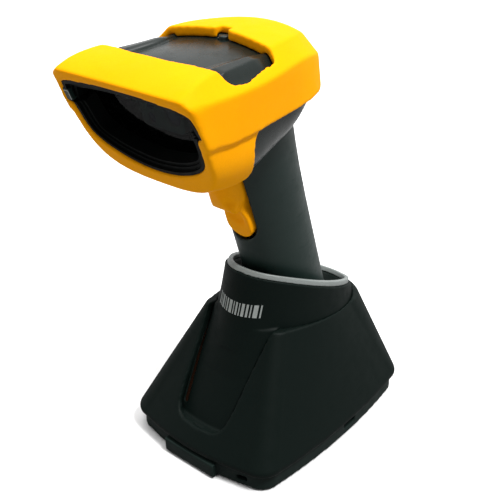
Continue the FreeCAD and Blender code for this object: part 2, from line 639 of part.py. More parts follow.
def sleeve_solid(inset):
    """The sleeve's outer surface as a tall solid: level ovals that grow and flare towards the foot."""
    # height, front, back, half width
    levels = [
        (96.0, -18.6, 54.2, 24.0), (86.0, -21.4, 54.2, 24.5), (69.0, -26.4, 54.2, 25.6),
        (55.0, -31.6, 54.2, 28.0), (38.0, -38.4, 54.2, 34.0), (18.0, -47.4, 54.2, 44.0),
    ]
    wires = []
    for z, front, back, half in levels:
        wires.append(oval(half - inset, (back - front) / 2 - inset, z, (front + back) / 2))
    return Part.makeLoft(wires, True, False)


def below_ring(drop):
    """Everything under the ring's lower plane, lowered by drop."""
    return in_ring(box(-80, 80, -120, 120, -200, -drop))


def panel_prism(grow, y0, y1):
    """The front panel's U outline, wide above and narrow below with round corners."""
    g = grow
    side = [(20.2 + g, 66.0), (18.4 + g, 57.6), (16.8 + g, 43.0), (15.8 + g, 31.0), (14.4 + g, 24.0),
            (12.2 + g, 21.0 - g / 2), (9.0 + g, 19.6 - g)]
    points = [*side, (0, 19.0 - g), *[(-x, z) for x, z in reversed(side)]]
    return front_prism(points, y0, y1)


def panel_solid(inset):
    """The front panel's surface, as a solid that reaches back to y = -8."""
    # height, middle, edges, half width
    levels = [
        (62.5, -28.0, -15.0, 20.6), (40.0, -37.4, -32.8, 20.4), (19.0, -49.2, -46.8, 18.8),
        (12.5, -53.2, -51.2, 18.8),
    ]
    wires = []
    for z, middle, edge, half in levels:
        wires.append(Part.Wire([
            arc((-half, edge + inset, z), (0, middle + inset, z), (half, edge + inset, z)),
            Part.makeLine(V(half, edge + inset, z), V(half, -8, z)),
            Part.makeLine(V(half, -8, z), V(-half, -8, z)),
            Part.makeLine(V(-half, -8, z), V(-half, edge + inset, z)),
        ]))
    return Part.makeLoft(wires, True, True)


def cup_cavity():
    """The space inside the sleeve: a funnel from the ring to the handle's tube, and the tube."""
    mouth = in_ring(oval(RING_HALF_W - RING_WIDTH, RING_HALF_L - RING_WIDTH, 0))
    lip = in_ring(oval(RING_HALF_W - RING_WIDTH, RING_HALF_L - RING_WIDTH, 12))
    a, b = GRIP_HALF_W + CUP_CLEAR, GRIP_HALF_D + CUP_CLEAR
    throat = in_handle(oval(a, b, 24))
    funnel = Part.makeLoft([lip, mouth], True, True).fuse(Part.makeLoft([mouth, throat], True, True))
    tube = in_handle(Part.makeLoft([oval(a, b, -FLOOR_CLEAR), oval(a, b, 24)], True, True))
    return funnel.fuse(tube)


def cradle_shell():
    """Outer shell, open below, with the U cut-out in front and a boss for each base screw."""
    inner = shell_solid(SHELL_WALL, SHELL_WALL)
    shell = shell_solid(0, 0).cut(inner).cut(foot_prism(SHELL_WALL, BASE_TOP_Z - 1, BASE_TOP_Z + 1.5))
    shell = shell.cut(sleeve_top(-0.25)).cut(panel_prism(0, -80, -10))
    for x, y in BASE_SCREW_SPOTS:
        boss = cyl(3.2, 40, V(x, y, BASE_TOP_Z)).common(shell_solid(1.0, 1.0))
        shell = shell.fuse(boss).cut(cyl(BASE_SCREW_R + 0.05, 12, V(x, y, BASE_TOP_Z - 1)))
    socket_hole = box(-6.0, 6.0, 45, 70, 10.6, 15.4)
    return shell.cut(socket_hole).removeSplitter()


def sleeve_top(inset):
    """The sleeve's oval part, from just inside the shell's opening up to the ring."""
    return sleeve_solid(inset).common(below_ring(0)).common(box(-80, 80, -80, 80, 52, 120))


def cradle_sleeve():
    """Oval cup that shows above the shell, its front panel, and the tube that takes the handle."""
    a, b = GRIP_HALF_W + CUP_CLEAR + CUP_WALL, GRIP_HALF_D + CUP_CLEAR + CUP_WALL
    behind_shell = shell_solid(SHELL_WALL + GAP, SHELL_WALL + GAP).fuse(panel_prism(-GAP, -80, -10))
    panel = panel_solid(0).cut(panel_solid(SHELL_WALL)).common(behind_shell)
    panel = panel.common(box(-80, 80, -80, 0, 12.5, 70))
    ledge = behind_shell.cut(panel_solid(0)).common(box(-16, 16, -80, -30, 14.0, 18.6))
    tube = in_handle(Part.makeLoft([oval(a, b, -CUP_WALL), oval(a, b, 45)], True, True))
    sleeve = sleeve_top(0).fuse(panel).fuse(ledge).fuse(tube.common(below_ring(6))).cut(cup_cavity())
    for side in (-1, 1):
        sleeve = sleeve.cut(light_slot(side, SLOT_W / 2, 0.0))
    for x in CONTACT_XS:
        sleeve = sleeve.cut(in_handle(cyl(PLUNGER_R + PLUNGER_CLEAR, 8, V(x, 0, -6))))
    return sleeve.removeSplitter()


def light_slot(side, half, end_gap):
    """Prism of the groove beside the panel, leaning with the panel's edge."""
    top, low = (18.7, 58.5 - end_gap), (14.4, 21.6 + end_gap)
    up = [(top[0] - half, top[1]), (top[0] + half, top[1])]
    down = [(low[0] + half, low[1]), (low[0] - half, low[1])]
    return front_prism([(side * x, z) for x, z in up + down], -80, -12)


def cradle_light_pipes():
    """Smoked bars in the two grooves, set a little below the panel's surface."""
    band = panel_solid(0.6).cut(panel_solid(SHELL_WALL + 0.4))
    bars = [band.common(light_slot(side, SLOT_W / 2 - 0.1, 0.2)).Solids[0] for side in (-1, 1)]
    return Part.Compound(bars)


def trim_ring():
    """Light oval ring round the cup's mouth, drafted inside and out."""
    low, high = oval(RING_HALF_W, RING_HALF_L, 0.05), oval(RING_HALF_W - 0.5, RING_HALF_L - 0.5, RING_HEIGHT)
    inner_w, inner_l = RING_HALF_W - RING_WIDTH, RING_HALF_L - RING_WIDTH
    hole = Part.makeLoft([oval(inner_w, inner_l, -1), oval(inner_w + 0.6, inner_l + 0.6, 4)], True, True)
    return in_ring(Part.makeLoft([low, high], True, True).cut(hole))


def cradle_base():
    """Tray that carries the shell, with a toe block in front and a cable gap in the right side."""
    floor = FOOT_H + 2.0
    outer = foot_prism(2.0, FOOT_H, BASE_TOP_Z - GAP)
    toe = box(-TOE_HALF_W, TOE_HALF_W, TOE_FRONT_Y, -50, FOOT_H, 8.0)
    tray = outer.fuse(toe).cut(foot_prism(4.5, floor, BASE_TOP_Z + 1))
    tray = tray.cut(box(40, 60, 3.0, 12.0, 4.0, 7.6))
    tray = tray.cut(box(25.6, 31.0, -62, -48, 3.4, 6.0))
    for x, y in BASE_SCREW_SPOTS:
        tray = tray.fuse(cyl(4.2, BASE_TOP_Z - 0.2 - floor, V(x, y, floor)))
        tray = tray.cut(cyl(BASE_SCREW_R + 0.2, 20, V(x, y, 0))).cut(cyl(2.9, BASE_SCREW_SEAT, V(x, y, 0)))
    return tray.removeSplitter()


def anti_slip_mat():
    """Rubber mat under the base; it is what the cradle stands on."""
    mat = box(-MAT_HALF_W, MAT_HALF_W, -MAT_HALF_L, MAT_HALF_L, 0, FOOT_H - 0.02)
    corners = [e for e in mat.Edges if abs(e.tangentAt(e.FirstParameter).z) > 0.99]
    return mat.makeFillet(6.0, corners)


def base_screws():
    """Screws up through the base into the shell's bosses, their heads sunk in the underside."""
    spots = [V(x, y, BASE_SCREW_SEAT - 0.02) for x, y in BASE_SCREW_SPOTS]
    return Part.Compound([screw(2.6, 1.8, BASE_SCREW_R, 12.0, at, V(0, 0, 1)) for at in spots])


def ballast_plate():
    """Steel plate that keeps the cradle on the desk when the scanner is lifted out."""
    plate = box(-20.0, 20.0, -46.0, 14.0, FOOT_H + 2.05, FOOT_H + 7.0)
    corners = [e for e in plate.Edges if abs(e.tangentAt(e.FirstParameter).z) > 0.99]
    return plate.makeFillet(4.0, corners)


def charging_pins():
    """Four sprung plungers that meet the scanner's pads; the flange keeps each one in its bore."""
    group = []
    for x in CONTACT_XS:
        tip = cyl(PLUNGER_R, PIN_TOP + 4.7, V(x, 0, -5.2))
        tip = tip.fuse(cyl(PLUNGER_R - 0.3, 0.6, V(x, 0, PIN_TOP - 0.6)))
        flange = cyl(1.2, 0.7, V(x, 0, -5.2))
        stem = cyl(0.5, 1.6, V(x, 0, -6.8))
        group.append(in_handle(tip.fuse(flange).fuse(stem).removeSplitter()))
    return Part.Compound(group)


def pin_springs():
    return Part.Compound([in_handle(coil(1.0, 0.2, 0.85, 4.0, V(x, 0, -9.2))) for x in CONTACT_XS])


def pin_block():
    """Insulating block under the cup's floor, bored for the plungers and their springs."""
    block = box(-11.5, 11.5, -3.6, 3.6, -9.6, -CUP_WALL - 0.05)
    for x in CONTACT_XS:
        block = block.cut(cyl(PLUNGER_R + PLUNGER_CLEAR, 12, V(x, 0, -11)))
        block = block.cut(cyl(1.3, 5.2, V(x, 0, -9.6)))
    return in_handle(block)


def pin_board():
    """Small board that closes the bores and feeds the springs."""
    return in_handle(box(-14.0, 14.0, -6.0, 6.0, -11.2, -9.65))


def cradle_board():
    """Supply board on two posts at the back of the tray, with a status lamp block."""
    board = box(-18.0, 18.0, 34.0, 50.5, 8.2, 9.8).cut(box(-7, 7, 30, 38, 7, 12))
    chips = [box(-14, -8, 42, 48, 9.8, 11.0), box(9, 15, 40, 46, 9.8, 11.2)]
    return board.multiFuse(chips)


def power_socket():
    """Metal power and data socket at the back of the cradle."""
    case = box(-4.6, 4.6, 44.5, 53.2, 9.85, 14.2)
    corners = [e for e in case.Edges if abs(e.tangentAt(e.FirstParameter).y) > 0.99]
    case = case.makeFillet(1.5, corners)
    mouth = box(-3.9, 3.9, 46.5, 60, 10.6, 13.4)
    tongue = box(-2.9, 2.9, 46.0, 52.4, 11.6, 12.3)
    return case.cut(mouth).fuse(tongue)


def build():
    return {
        "protective_boot": protective_boot,
        "head_top_cover": head_top_cover,
        "head_bottom_cover": head_bottom_cover,
        "handle_shell": handle_shell,
        "battery_door": battery_door,
        "door_screw": door_screw,
        "scanner_contacts": scanner_contacts,
        "contact_board": contact_board,
        "battery_cell": battery_cell,
        "handle_board": handle_board,
        "ribbon_cable": ribbon_cable,
        "vibration_motor": vibration_motor,
        "trigger": trigger,
        "trigger_pin": trigger_pin,
        "trigger_spring": trigger_spring,
        "trigger_switch": trigger_switch,
        "exit_window": exit_window,
        "window_gasket": window_gasket,
        "imager_module": imager_module,
        "imager_lens": imager_lens,
        "light_lenses": light_lenses,
        "engine_bracket": engine_bracket,
        "engine_screws": engine_screws,
        "head_board": head_board,
        "radio_module": radio_module,
        "beeper": beeper,
        "status_light_pipe": status_light_pipe,
        "head_screws": head_screws,
        "cradle_shell": cradle_shell,
        "cradle_sleeve": cradle_sleeve,
        "cradle_light_pipes": cradle_light_pipes,
        "trim_ring": trim_ring,
        "cradle_base": cradle_base,
        "anti_slip_mat": anti_slip_mat,
        "base_screws": base_screws,
        "ballast_plate": ballast_plate,
        "charging_pins": charging_pins,
        "pin_springs": pin_springs,
        "pin_block": pin_block,
        "pin_board": pin_board,
        "cradle_board": cradle_board,
        "power_socket": power_socket,
    }


os.makedirs("parts", exist_ok=True)
for name, make in build().items():
    make().exportStep(f"parts/{name}.step")
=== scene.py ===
"""Looks of the handheld barcode scanner that stands in its charging cradle.

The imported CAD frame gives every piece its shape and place. The visible mouldings get copies with
softer edges, and every piece gets a node-based material.
"""

import json
import math

import bmesh
import bpy
import numpy as np
from mathutils import Matrix, Vector
from mathutils.bvhtree import BVHTree


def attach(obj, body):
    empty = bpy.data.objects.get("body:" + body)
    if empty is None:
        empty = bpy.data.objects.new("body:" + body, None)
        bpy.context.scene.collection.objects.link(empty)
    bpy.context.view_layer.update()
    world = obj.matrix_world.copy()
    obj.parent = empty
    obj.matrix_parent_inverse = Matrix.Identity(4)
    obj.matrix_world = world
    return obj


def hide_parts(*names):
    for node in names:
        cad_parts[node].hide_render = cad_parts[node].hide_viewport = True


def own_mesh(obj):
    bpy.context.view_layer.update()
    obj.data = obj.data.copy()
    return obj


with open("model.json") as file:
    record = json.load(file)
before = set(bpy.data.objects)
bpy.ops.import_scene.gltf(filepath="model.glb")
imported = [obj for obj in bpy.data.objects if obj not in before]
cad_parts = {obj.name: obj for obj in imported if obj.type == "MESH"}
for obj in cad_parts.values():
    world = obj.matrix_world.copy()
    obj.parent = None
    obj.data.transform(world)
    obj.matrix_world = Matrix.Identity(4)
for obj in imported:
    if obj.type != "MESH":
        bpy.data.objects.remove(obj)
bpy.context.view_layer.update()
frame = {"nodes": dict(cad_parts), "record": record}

MM = 0.001
NODES = frame["nodes"]
RECORD = frame["record"]
SLOT_OF = {part["node"]: part["material_slot"] for part in RECORD["subparts"]}
BODY_OF = {node: body for body, nodes in RECORD["behaviour"]["bodies"].items() for node in nodes}

# Frames of the scanner's own parts, as in the CAD
LEAN = math.radians(17.3)            # forward lean of the handle
HANDLE_ORIGIN = Vector((0, 28.2, 20)) * MM
FACE_TILT = math.radians(24.2)       # the window looks this far below level
FACE_ORIGIN = Vector((0, -84, 189)) * MM
RING_Y, RING_Z = 16.1, 70.3          # middle of the cup's rim, in mm
RING_TILT = math.radians(24.4)

# Visible mouldings: new name, CAD node, grid of the remesh in mm, rounds of smoothing
MOULDINGS = (
    ("boot", "protective_boot", 0.5, 14),
    ("top_cover", "head_top_cover", 0.45, 5),
    ("bottom_cover", "head_bottom_cover", 0.5, 6),
    ("grip", "handle_shell", 0.55, 6),
    ("finger_trigger", "trigger", 0.3, 10),
    ("cradle_body", "cradle_shell", 0.6, 7),
    ("cradle_front", "cradle_sleeve", 0.5, 6),
    ("collar", "trim_ring", 0.35, 6),
    ("base_tray", "cradle_base", 0.5, 6),
)
HEAD_COVERS = ("top_cover", "bottom_cover")
CUP_RIM = ("collar", "cradle_front")
WELD = 0.002                         # vertices nearer than this become one, in mm
SMOOTH_FACTOR = 0.5                  # how far one round of smoothing moves a vertex
LEAST_WEIGHT = 0.01                  # a vertex with less weight than this isn't smoothed

# Places below are given as (start, end) of a smooth ramp, in mm. "Side" is the distance from the
# middle plane, "behind" and "up" are in the window face's frame, and y and z are in the row frame.

# Boot: the rim round the opening is rounded all round, and most at its sides
FACE_BEHIND = (3.0, 9.0)
FACE_SIDE = (27, 34)
FACE_MIDDLE = 0.35                   # rounding in the middle, as a share of that at the sides
FACE_ROUNDS = 34

# Boot: the front corners are rounder still
CORNER_BEHIND = (3.0, 8.0)
CORNER_SIDE = (31, 35)
CORNER_UP = (-13, -8)
CORNER_ROUNDS = 60

# Boot: the left band lies lower beside the cut-out
BAND_SIDE = (27, 31)
BAND_FRONT_Y = (-62, -55)
BAND_REAR_Y = (-36, -29)
BAND_Z = (184, 190)
BAND_DROP = 1.2

# Boot: its upper edges at both sides are softened
CREST_SIDE = (24, 27)
CREST_Z = (183, 186)
CREST_ROUNDS = 10

# Boot: two faint hollows in the rear right corner
HOLLOWS = ((21.0, 2.5, 189.2), (25.4, -3.0, 186.6))
HOLLOW_DIRECTION = (-0.4, -0.5, -0.8)
HOLLOW_RADIUS, HOLLOW_DEPTH = 1.5, 0.5

# Top cover: the strips beside the sunk panel stand prouder
STRIP_INNER = (20, 23)
STRIP_OUTER = (27, 31)
STRIP_FRONT_Y = (-61, -56)
STRIP_REAR_Y = (-40, -33)
STRIP_Z = (188, 191)
STRIP_RISE = 0.8

# Cup rim: raised at both sides, by less the further a point lies below the ring's plane
RIM_SIDE = (5, 23)
RIM_REACH = 20
RIM_RISE = 1.3

# Trigger, in the handle's frame: a waist, a beak above it, and two hollows for the finger
TRIGGER_FRONT = (13.5, 16.0)         # in front of the handle's axis
WAIST_HEIGHT, WAIST_SPREAD = 113.0, 4.2
WAIST_PINCH = 0.22
BEAK_HEIGHT, BEAK_SPREAD = 117.0, 4.0
BEAK_FRONT = (20.5, 24.0)
BEAK_DROP = 1.7
BEAK_WIDEN = 0.06
TRIGGER_ROUNDS = 12
FINGER_HOLLOWS = (                   # centre, direction, radius, depth
    ((5.2, -26.6, 120.4), (-0.5, 0.8, 0.2), 3.6, 1.3),
    ((2.4, -19.6, 104.6), (0, 1, 0), 3.4, 0.9),
)

# Bottom cover: small latch slot at the seam with the handle
LATCH = (18.2, -6.0, 142.0)
LATCH_DIRECTION = (-1, 0, 0.3)
LATCH_RADIUS, LATCH_DEPTH = 1.6, 1.8

# Springs: new name, CAD node, joint, axis and fixed point in the handle's frame, and
# the share of their length that is left
SPRINGS = (
    ("return_spring", "trigger_spring", "trigger_press", (0, 1, 0), (0, -9.8, 112), 0.62),
    ("plunger_springs", "pin_springs", "pin_press", (0, 0, 1), (0, 0, -9.3), 0.68),
)

# Printed mark, in mm: the widths of the bars on the sleeve's front, left to right
BAR_WIDTHS = (0.9, 0.5, 1.3, 0.5, 0.9, 1.7, 0.5, 0.9, 0.5, 1.3, 0.9, 0.5, 1.7, 0.5)
BAR_SPACE = 0.85
MARK_X = 0.8                         # middle of the mark
BAR_LOW_Z, BAR_HIGH_Z = 68.0, 73.8
BAR_STEPS, BAR_PARTS = 6, 2          # faces up and across one bar
BAR_PROUD, BAR_SUNK = 0.07, 0.25     # in front of and behind the sleeve's surface
FRONT_Y = -60                        # a ray towards the sleeve starts here

# Locking tab in the window, in the window face's frame, in mm
TAB_LEFT, TAB_RIGHT = -35.0, -31.6
TAB_LOW, TAB_HIGH = -14.1, -8.4
TAB_FRONT, TAB_BACK = 0.7, 3.2       # behind the face
TAB_LEAN = -0.5                      # its lower end is this far to the side
TAB_BEVEL = 0.3
TAB_STEPS, TAB_PARTS = 4, 3          # faces up and across it
LINE_IN, LINE_WIDE = 0.5, 0.22       # the painted highlight lines on the tab's top and right edges: distance from the tab's edge, and width
LINE_RISE, LINE_SUNK = 0.06, 0.1     # in front of and behind the tab's surface
LINE_LEAN = -0.4
TOP_LINE = (0.9, 0.7)                # lower and upper edge, below the tab's top
SIDE_LINE_LOW = 0.6                  # above the tab's bottom

# Surfaces: sizes of the patterns in mm, each with its strength, and the ranges that are picked
MIDDLE = (0.3, 0.7)                  # part of a noise's range that is spread out
NARROW = (0.35, 0.65)                # the same, with more contrast
OUTWARD = (0.515, 0.60)              # range of the edge measure on outward edges
INWARD = (0.485, 0.42)               # and in inward corners
DRIFT_SIZE, DRIFT = 22, 0.25         # slow colour drift
FLECK_SIZE, FLECK = 0.8, 0.10        # fine colour flecks
FLECK_SHADE = 0.7                    # how dark a fleck is
EDGE_PATCH_SIZE, EDGE_PATCH_LEAST = 3.5, 0.35      # patches of lighter outward edge, partly worn and partly painted highlight, and the least that shows between them
RUB_SHEEN = 0.12                     # how much smoother a rubbed edge is
PAINTED_SHADE_AMOUNT, PAINTED_SHADE_TONE = 0.5, 0.45       # painted shade in inward corners: how strongly it shows, and how dark it is
HAZE_SIZE, HAZE = 6, 0.06            # slow change of roughness
SCUFF_SIZE, SCUFF = 9, 0.10          # scuffs, rougher than the rest
SCUFF_STRETCH = (1, 1, 6)
SCUFF_RANGE = (0.56, 0.72)
WAVE_SIZE, WAVE_DEPTH = 14, 0.05     # faint unevenness
STREAK_SIZE, STREAK = 0.5, 0.3       # drawing lines on metal
STREAK_SHADE, STREAK_ROUGH, STREAK_DEPTH = 0.72, 0.07, 0.01
ALONG_X, ALONG_Z = (14, 1, 1), (1, 1, 14)
STAIN_SIZE, STAIN = 5, 0.25          # stains on metal
STAIN_RANGE, STAIN_SHADE = (0.4, 0.75), 0.5
# Painted highlight on metal edges: range of the edge measure, strength, and how much lighter
BRIGHT_EDGE, BRIGHT = (0.52, 0.6), 0.5
BRIGHT_SHADE = 1.3
TRACK_SCALE, TRACK_GAP = 420.0, 0.09     # tracks of a circuit board
TRACK, TRACK_SHADE, TRACK_DEPTH = 0.5, 1.9, 0.03
PAD_SIZE, PAD_SCATTER = 3.2, 0.8     # its tinned pads
PAD_RANGE, PAD_METAL = (0.16, 0.13), 0.9
TIN = (0.55, 0.55, 0.52)
MASK_SIZE, MASK_ROUGH = 2, (0.28, 0.42)
SMEAR_SIZE, SMEAR_STRETCH = 16, (1, 1, 0.4)      # smears on the window
SMEAR_RANGE = (0.4, 0.7)
SMEAR_ROUGH, SMEAR_COVER = 0.05, 0.04
PANE_SHADE, PANE_SPECULAR = 0.004, 0.16
PANE_WAVE_SIZE, PANE_WAVE_DEPTH = 30, 0.02
BLOOM_BLEND = 0.35                   # where a lens's bloom starts to change towards the rim
LENS_DUST_SIZE, LENS_ROUGH = 3, (0.03, 0.09)
LENS_WAVE_SIZE, LENS_WAVE_DEPTH = 5, 0.004
LENS_SPECULAR, LENS_COAT = 0.9, 0.6

# Camera and lights
CAMERA_AZIMUTH = math.radians(41.02)     # from straight in front round to the object's right
CAMERA_ELEVATION = math.radians(28.41)
CAMERA_ROLL = math.radians(-1.07)
CAMERA_TARGET = Vector((29.95, -47.77, 120.23)) * MM
CAMERA_DISTANCE = 335.7 * MM
CAMERA_LENS, CAMERA_SENSOR = 61.3, 36
NEAR_CLIP = 0.01
SUNS = (                                 # name, direction, strength, softness in degrees
    ("overhead", (0.10, 0.10, 1.0), 3.0, 60),
    ("key", (0.52, 0.0, 1.0), 2.9, 10),
)
ROOM_FROM, ROOM_TO = -0.2, 0.75          # how squarely a direction points at the camera's side
ROOM_FAR, ROOM_NEAR = 0.95, 0.16         # strength of the room's light at those two
FLOOR_SIZE, FLOOR_PATCH = 8, 300         # in m, and in mm
FLOOR_SEEN = ((0.74, 0.74, 0.74), (0.78, 0.78, 0.78))
FLOOR_LIT = (0.26, 0.26, 0.26)           # the floor as it throws light back on the object
FLOOR_ROUGH, FLOOR_SPECULAR = 0.9, 0.1


def in_handle(x, y, z):
    """Point given across, behind and along the handle, in mm, to the row frame in metres."""
    return HANDLE_ORIGIN + Matrix.Rotation(LEAN, 3, "X") @ (Vector((x, y, z)) * MM)


def in_face(x, y, z):
    """Point given across, behind and up the window face, in mm, to the row frame in metres."""
    return FACE_ORIGIN + Matrix.Rotation(FACE_TILT, 3, "X") @ (Vector((x, y, z)) * MM)


# ---------------------------------------------------------------- meshes

def linked(name, mesh):
    """New object in the scene."""
    obj = bpy.data.objects.new(name, mesh)
    bpy.context.scene.collection.objects.link(obj)
    return obj


def settle_modifiers(obj):
    """Bakes the modifiers into the mesh."""
    bpy.context.view_layer.update()
    evaluated = obj.evaluated_get(bpy.context.evaluated_depsgraph_get())
    mesh = bpy.data.meshes.new_from_object(evaluated)
    obj.modifiers.clear()
    obj.data = mesh


def soft_copy(name, node, voxel, rounds):
    """Copy of a CAD node with moulded soft edges, which then stands for the node."""
    mesh = NODES[node].data.copy()
    mesh.materials.clear()
    work = bmesh.new()
    work.from_mesh(mesh)
    bmesh.ops.remove_doubles(work, verts=work.verts, dist=WELD * MM)
    work.to_mesh(mesh)
    work.free()
    piece = linked(name, mesh)
    remesh = piece.modifiers.new("remesh", "REMESH")
    remesh.mode = "VOXEL"
    remesh.voxel_size = voxel * MM
    remesh.adaptivity = 0
    smooth = piece.modifiers.new("smooth", "SMOOTH")
    smooth.factor = SMOOTH_FACTOR
    smooth.iterations = rounds
    settle_modifiers(piece)
    piece.data.polygons.foreach_set("use_smooth", [True] * len(piece.data.polygons))
    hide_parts(node)
    return piece


def points_of(piece):
    """The mesh's vertices as an array, in metres."""
    points = np.zeros(len(piece.data.vertices) * 3)
    piece.data.vertices.foreach_get("co", points)
    return points.reshape(-1, 3)


def set_points(piece, points):
    """Writes the vertices back."""
    piece.data.vertices.foreach_set("co", points.ravel())
    piece.data.update()


def dent(piece, centre, direction, radius, depth):
    """Presses a soft round hollow into the mesh along a direction; its size is in mm."""
    points = points_of(piece)
    away = np.linalg.norm(points - np.array(centre), axis=1) / (radius * MM)
    push = np.exp(-(away ** 2) * 2) * depth * MM
    set_points(piece, points + push[:, None] * np.array(Vector(direction).normalized()))


def soften(piece, weights, rounds):
    """Rounds part of a mesh off, as far as each vertex's weight says."""
    group = piece.vertex_groups.new(name="soft")
    for index in np.nonzero(weights > LEAST_WEIGHT)[0]:
        group.add([int(index)], float(weights[index]), "REPLACE")
    smooth = piece.modifiers.new("soften", "SMOOTH")
    smooth.factor = SMOOTH_FACTOR
    smooth.iterations = rounds
    smooth.vertex_group = group.name
    settle_modifiers(piece)
    piece.vertex_groups.clear()


def ramp(values, start, end):
    """0 at start, 1 at end, smooth between."""
    t = np.clip((values - start) / (end - start), 0, 1)
    return t * t * (3 - 2 * t)


def fade(values, start, end):
    """1 at start, 0 at end, smooth between."""
    return 1 - ramp(values, start, end)


def hump(values, middle, spread):
    """1 in the middle, falling away on both sides."""
    return np.exp(-((values - middle) / spread) ** 2)


def to_frame(points, origin, tilt):
    """Points in metres turned into a local frame, in mm."""
    turn = np.array(Matrix.Rotation(tilt, 3, "X"))
    return (points - np.array(origin)) @ turn / MM


def from_frame(local, origin, tilt):
    """Local points in mm back to the row frame in metres."""
    turn = np.array(Matrix.Rotation(tilt, 3, "X"))
    return (local * MM) @ turn.T + np.array(origin)


# ---------------------------------------------------------------- materials

class Nodes:
    """Short way to build a material's node tree."""

    def __init__(self, name):
        self.material = bpy.data.materials.new(name)
        self.material.use_nodes = True
        self.tree = self.material.node_tree
        self.tree.nodes.clear()
        self.out = self.add("ShaderNodeOutputMaterial")
        self.place = self.add("ShaderNodeTexCoord").outputs["Object"]

    def add(self, kind, **values):
        """Node of a kind; values are its inputs by name, with _ for a space, or its own properties."""
        node = self.tree.nodes.new(kind)
        for key, value in values.items():
            socket = node.inputs.get(key.replace("_", " "))
            if socket is None:
                setattr(node, key, value)
            elif hasattr(value, "links"):
                self.tree.links.new(value, socket)
            else:
                socket.default_value = value
        return node

    def noise(self, size_mm, detail=3.0, stretch=(1, 1, 1), roughness=0.5):
        """Noise from 0 to 1 with features of about size_mm."""
        spread = self.add("ShaderNodeMapping", Vector=self.place, Scale=stretch).outputs[0]
        return self.add("ShaderNodeTexNoise", Vector=spread, Scale=1 / (size_mm * MM), Detail=detail,
                        Roughness=roughness).outputs["Fac"]

    def cells(self, size_mm, randomness):
        """Distance to the nearest cell point, with cells of about size_mm."""
        return self.add("ShaderNodeTexVoronoi", Vector=self.place, Scale=1 / (size_mm * MM),
                        Randomness=randomness).outputs["Distance"]

    def remap(self, value, low, high, to_low=0.0, to_high=1.0):
        """A value moved from the range low to high to another range, and held inside it."""
        return self.add("ShaderNodeMapRange", Value=value, From_Min=low, From_Max=high, To_Min=to_low,
                        To_Max=to_high).outputs["Result"]

    def maths(self, operation, a, b):
        """One operation on two values."""
        node = self.add("ShaderNodeMath", operation=operation)
        for socket, value in zip(node.inputs, (a, b)):
            if hasattr(value, "links"):
                self.tree.links.new(value, socket)
            else:
                socket.default_value = value
        return node.outputs[0]

    def mix(self, factor, a, b):
        """Two colours mixed."""
        node = self.add("ShaderNodeMix", data_type="RGBA")
        for socket, value in zip((node.inputs[0], node.inputs[6], node.inputs[7]), (factor, a, b)):
            if hasattr(value, "links"):
                self.tree.links.new(value, socket)
            elif socket.type == "RGBA":
                socket.default_value = (*value, 1)
            else:
                socket.default_value = value
        return node.outputs[2]

    def edges(self, low, high):
        """The edge measure, spread so that low is 0 and high is 1."""
        return self.remap(self.add("ShaderNodeNewGeometry").outputs["Pointiness"], low, high)

    def bump(self, height, depth_mm, under=None):
        """Surface relief of a height in mm, on top of another relief if there is one."""
        node = self.add("ShaderNodeBump", Height=height, Distance=depth_mm * MM, Strength=1.0)
        if under is not None:
            self.tree.links.new(under, node.inputs["Normal"])
        return node.outputs[0]

    def surface(self, **values):
        """Principled surface on the output."""
        shader = self.add("ShaderNodeBsdfPrincipled", **values)
        self.tree.links.new(shader.outputs[0], self.out.inputs["Surface"])


def shade(colour, factor):
    """Colour made lighter or darker by a factor."""
    return tuple(min(1.0, part * factor) for part in colour)


def moulded(name, colour, deep, roughness, specular, grain_mm, grain_depth, edge_wear_and_highlight=0.35, rub=1.7):
    """Moulded plastic or rubber: eroded grain, slow colour drift, outward edges lighter where worn and
    with a painted highlight, painted shade in inward corners, and faint scuffs.
    """
    look = Nodes(name)
    drift = look.remap(look.noise(DRIFT_SIZE, detail=4), *MIDDLE)
    tone = look.mix(look.maths("MULTIPLY", drift, DRIFT), colour, deep)
    fleck = look.remap(look.noise(FLECK_SIZE, detail=2), *NARROW)
    tone = look.mix(look.maths("MULTIPLY", fleck, FLECK), tone, shade(deep, FLECK_SHADE))
    # Outward edges are lighter: partly worn, partly a painted highlight; rub sets how much lighter
    patches = look.remap(look.noise(EDGE_PATCH_SIZE, detail=5), *NARROW, EDGE_PATCH_LEAST, 1.0)
    worn_and_highlit_edges = look.maths("MULTIPLY", look.edges(*OUTWARD), patches)
    tone = look.mix(look.maths("MULTIPLY", worn_and_highlit_edges, edge_wear_and_highlight), tone, shade(colour, rub))
    # Painted shade: inward corners are darkened towards a deeper tone
    painted_corner_shade = look.maths("MULTIPLY", look.edges(*INWARD), PAINTED_SHADE_AMOUNT)
    tone = look.mix(painted_corner_shade, tone, shade(deep, PAINTED_SHADE_TONE))
    haze = look.remap(look.noise(HAZE_SIZE, detail=5), *MIDDLE, -HAZE, HAZE)
    rough = look.maths("ADD", haze, roughness)
    rough = look.maths("SUBTRACT", rough, look.maths("MULTIPLY", worn_and_highlit_edges, RUB_SHEEN))
    scuff = look.noise(SCUFF_SIZE, detail=6, stretch=SCUFF_STRETCH, roughness=0.62)
    rough = look.maths("ADD", rough, look.remap(scuff, *SCUFF_RANGE, 0.0, SCUFF))
    relief = look.bump(look.noise(grain_mm, detail=4, roughness=0.7), grain_depth)
    relief = look.bump(look.noise(WAVE_SIZE, detail=2), WAVE_DEPTH, relief)
    look.surface(Base_Color=tone, Roughness=rough, Specular_IOR_Level=specular, Normal=relief)
    return look.material


